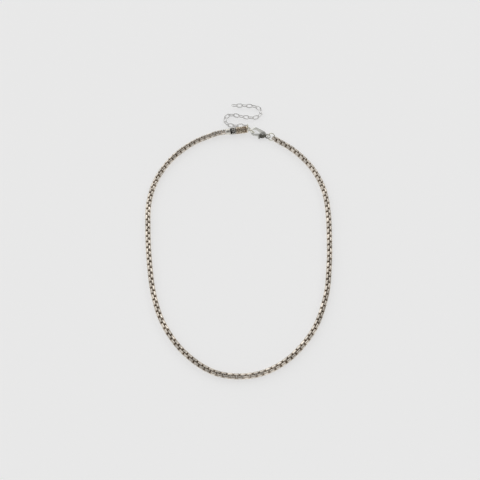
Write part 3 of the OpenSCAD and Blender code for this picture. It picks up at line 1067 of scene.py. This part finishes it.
@dataclass
class LobsterClasp:
    """The clasp: cast body, sprung lever and rivet, with soft edges and a painted dark reflection about
    the rivet.

    grain and lever_grain are the pitches of the even grids. rivet is the rivet's
    place in the clasp's own frame. A painted dark reflection reaches dark_reflection_left,
    dark_reflection_right and dark_reflection_far from it, fades over dark_reflection_fades
    at those three sides, and has its own strength on each piece.
    """

    nodes: dict[str, bpy.types.Object]
    layout: Layout
    grain: float = 0.075
    lever_grain: float = 0.055
    rounds: int = 5
    rivet: tuple[float, float] = (3.6, 1.0)
    dark_reflection_left: float = 3.4
    dark_reflection_right: float = 3.6
    dark_reflection_far: float = 0.6
    dark_reflection_fades: tuple[float, float, float] = (1.6, 0.8, 0.7)
    body_dark_reflection: float = 0.85
    lever_dark_reflection: float = 0.7
    pin_dark_reflection: float = 0.4

    def softened(self, node: str, name: str, grain: float) -> bpy.types.Object:
        """A copy of a solid's mesh, rebuilt on a fine even grid and then smoothed.

        Args:
            node: the solid's name.
            name: the new piece's name.
            grain: the grid's pitch in mm.

        Returns:
            The piece, its edges rounded over a few pitches.
        """
        source = self.nodes[node]
        rough = add_object(name, source.data.copy())
        rough.matrix_world = source.matrix_world
        weld = rough.modifiers.new("weld", "WELD")
        weld.merge_threshold = WELD_MM * MM
        even = rough.modifiers.new("even", "REMESH")
        even.mode = "VOXEL"
        even.voxel_size = grain * MM
        even.use_smooth_shade = True
        soften = rough.modifiers.new("soften", "SMOOTH")
        soften.factor = 0.5
        soften.iterations = self.rounds
        bpy.context.view_layer.update()
        built = rough.evaluated_get(bpy.context.evaluated_depsgraph_get())
        mesh = bpy.data.meshes.new_from_object(built)
        mesh.transform(rough.matrix_world)
        mesh.materials.clear()
        bpy.data.objects.remove(rough)
        mesh.name = name
        return add_object(name, mesh)

    def paint_dark_reflection(self, piece: bpy.types.Object, most: float) -> None:
        """Writes the gap and tone of a clasp piece, whose gap value is a painted dark reflection.

        The painted dark reflection lies about the rivet and on its near side: the product of a
        smooth step at its left end, one at its right end and one at its far edge.

        Args:
            piece: the piece.
            most: the painted dark reflection's strength.
        """
        lay = self.layout
        middle = lay.shift[:2] + lay.clasp_at + turn(lay.clasp_turn, self.rivet)
        x, y = (points_of(piece.data)[:, :2] - middle).T
        left, right, far = self.dark_reflection_fades
        # painted dark reflection: the near side about the rivet gets the dark colour
        gap = most * smooth((x + self.dark_reflection_left) / left) * smooth((self.dark_reflection_right - x) / right)
        gap *= smooth((self.dark_reflection_far - y) / far)
        write_values(piece.data, gap=gap, tone=np.full(len(gap), MID_TONE))

    def build(self) -> list[bpy.types.Object]:
        """The clasp's three pieces.

        Returns:
            The body, the lever and the rivet.
        """
        pieces = []
        for node, name, grain, rides, most in (
            ("clasp_body", "clasp_shell", self.grain, "necklace", self.body_dark_reflection),
            ("clasp_lever", "clasp_thumb_lever", self.lever_grain, "lever", self.lever_dark_reflection),
            ("clasp_pin", "clasp_rivet", self.lever_grain, "necklace", self.pin_dark_reflection),
        ):
            piece = self.softened(node, name, grain)
            self.paint_dark_reflection(piece, most)
            pieces.append(CLASP_METAL.dress(piece, rides, "clasp_metal", node))
        return pieces


@dataclass(frozen=True)
class Sun:
    """One soft, even light.

    Attributes:
        name: the light's name.
        from_deg: compass direction that it comes from, from +X towards +Y.
        height_deg: its height above the surface.
        spread_deg: how wide it looks from the surface.
        power: its strength in W/m2.
        tint: its colour.
    """

    name: str
    from_deg: float
    height_deg: float
    spread_deg: float
    power: float
    tint: tuple[float, float, float]

    def build(self) -> None:
        """Adds the light to the scene."""
        data = bpy.data.lights.new(self.name, "SUN")
        data.angle = math.radians(self.spread_deg)
        data.energy = self.power
        data.color = self.tint
        light = add_object(self.name, data)
        light.rotation_euler = (math.radians(90 - self.height_deg), 0, math.radians(self.from_deg + 90))


@dataclass
class Studio:
    """Pale floor, soft lights and the camera at the photograph's angle.

    elevation is the camera's height in degrees, and focal_px its focal length for
    a picture frame_px wide. unit_mm is one pixel's size at the aim, the point in
    the middle of the picture in the loop's frame. floor_glow is the floor's own
    light, which keeps it even. light_from is the direction of the surround's
    bright side, and surround its grey at each share of the way there.
    """

    layout: Layout
    elevation: float = 67.8
    focal_px: float = 667.0
    frame_px: float = 480.0
    sensor_mm: float = 36.0
    unit_mm: float = 0.635
    aim: tuple[float, float] = (1.15, 3.65)
    floor_size: float = 3.0
    floor_grey: float = 0.42
    floor_glow: float = 0.572
    light_from: tuple[float, float, float] = (-0.5, 0.75, 0.3)
    surround: tuple[tuple[float, float], ...] = (
        (0.001, 0.5), (0.2, 0.44), (0.42, 0.09), (0.6, 0.16),
        (0.7, 0.22), (0.81, 0.36), (0.92, 0.88), (0.999, 1.0),
    )  # fmt: skip
    surround_power: float = 1.25
    suns: tuple[Sun, ...] = (
        Sun("key", 38.0, 36.0, 34.0, 0.45, (1.0, 0.99, 0.97)),
        Sun("fill", 205.0, 40.0, 50.0, 0.3, (0.97, 0.985, 1.0)),
    )

    def camera(self) -> None:
        """A camera that looks along +Y and down, at the point in the middle of the frame."""
        lay = self.layout
        e = math.radians(self.elevation)
        target = np.array([*self.aim, lay.chain_z]) + lay.shift
        place = target + self.focal_px * self.unit_mm * np.array([0, -math.cos(e), math.sin(e)])
        data = bpy.data.cameras.new("camera")
        data.sensor_width = self.sensor_mm
        data.lens = self.sensor_mm * self.focal_px / self.frame_px
        data.clip_start, data.clip_end = 0.01, 20.0
        cam = add_object("camera", data)
        cam.location = place * MM
        cam.rotation_euler = (math.pi / 2 - e, 0, 0)
        bpy.context.scene.camera = cam

    def floor(self) -> None:
        """The surface that the necklace lies on."""
        s = self.floor_size / 2
        mesh = bpy.data.meshes.new("floor")
        mesh.from_pydata([(-s, -s, 0), (s, -s, 0), (s, s, 0), (-s, s, 0)], [], [(0, 1, 2, 3)])
        mat = bpy.data.materials.new("floor_paper")
        mat.use_nodes = True
        shader = mat.node_tree.nodes["Principled BSDF"]
        g = self.floor_grey
        shader.inputs["Base Color"].default_value = (g, g, g, 1)
        shader.inputs["Roughness"].default_value = 0.9
        shader.inputs["Specular IOR Level"].default_value = 0.1
        shader.inputs["Emission Color"].default_value = (1, 1, 1, 1)
        shader.inputs["Emission Strength"].default_value = self.floor_glow
        mesh.materials.append(mat)
        add_object("floor", mesh)

    def world(self) -> None:
        """A surround as in a light tent, brightest behind and to the left.

        Its grey is a ramp over the share (1 + d) / 2, where d is the dot product
        of the direction and light_from.
        """
        world = bpy.data.worlds.new("surround")
        world.use_nodes = True
        n, link = world.node_tree.nodes, world.node_tree.links.new
        place = n.new("ShaderNodeTexCoord")
        towards = n.new("ShaderNodeVectorMath")
        towards.operation = "DOT_PRODUCT"
        towards.inputs[1].default_value = self.light_from
        share = n.new("ShaderNodeMapRange")
        share.inputs["From Min"].default_value = -1.0
        ramp = n.new("ShaderNodeValToRGB")
        for stop, grey in self.surround:
            here = ramp.color_ramp.elements.new(stop)
            here.color = (grey, grey, grey, 1)
        for spare in (0, -1):
            ramp.color_ramp.elements.remove(ramp.color_ramp.elements[spare])
        link(place.outputs["Generated"], towards.inputs[0])
        link(towards.outputs["Value"], share.inputs["Value"])
        link(share.outputs["Result"], ramp.inputs["Fac"])
        link(ramp.outputs["Color"], n["Background"].inputs["Color"])
        n["Background"].inputs["Strength"].default_value = self.surround_power
        bpy.context.scene.world = world

    def build(self) -> None:
        """Everything that isn't the necklace."""
        self.camera()
        self.floor()
        self.world()
        for sun in self.suns:
            sun.build()
        settings = bpy.context.scene.view_settings
        settings.view_transform = "Standard"
        settings.look = "None"


def check_place(piece: bpy.types.Object, node: str) -> float:
    """Largest difference between a piece's box and its solid's box, in mm."""
    solid, points = np.array(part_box(node)) / MM, points_of(piece.data)
    return float(np.abs([points.min(0) - solid[0], points.max(0) - solid[1]]).max())


def main() -> None:
    """Builds the necklace's pieces in order, logs each one's face count and how far it lies from its
    solid's box, then builds the studio.
    """
    logging.basicConfig(level=logging.INFO, format="%(name)s: %(message)s")
    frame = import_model()
    lay = Layout()
    chain = BoxChain(lay)
    pieces = [chain.build(), CableExtender(lay).build()]
    for name, node, place, wire, joint_at in (
        ("hook_ring", "joining_ring", lay.joining_ring, lay.ring_wire, 100),
        ("extender_carrier", "extender_ring", lay.carrier_ring, lay.ring_wire, 60),
        ("clasp_end_ring", "clasp_ring", lay.clasp_ring, lay.clasp_ring_wire, 80),
    ):
        pieces.append(JumpRing(name, node, place, wire, joint_at, lay).build())
    pieces += BarrelBead(lay, chain).build()
    pieces += LobsterClasp(frame["nodes"], lay).build()
    for piece in pieces:
        node = piece["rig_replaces"][0]
        faces, off = len(piece.data.polygons), check_place(piece, node)
        LOG.info("%s: %d faces, %.2f mm from the box of %s", piece.name, faces, off, node)
    Studio(lay).build()


if __name__ == "__main__":
    main()
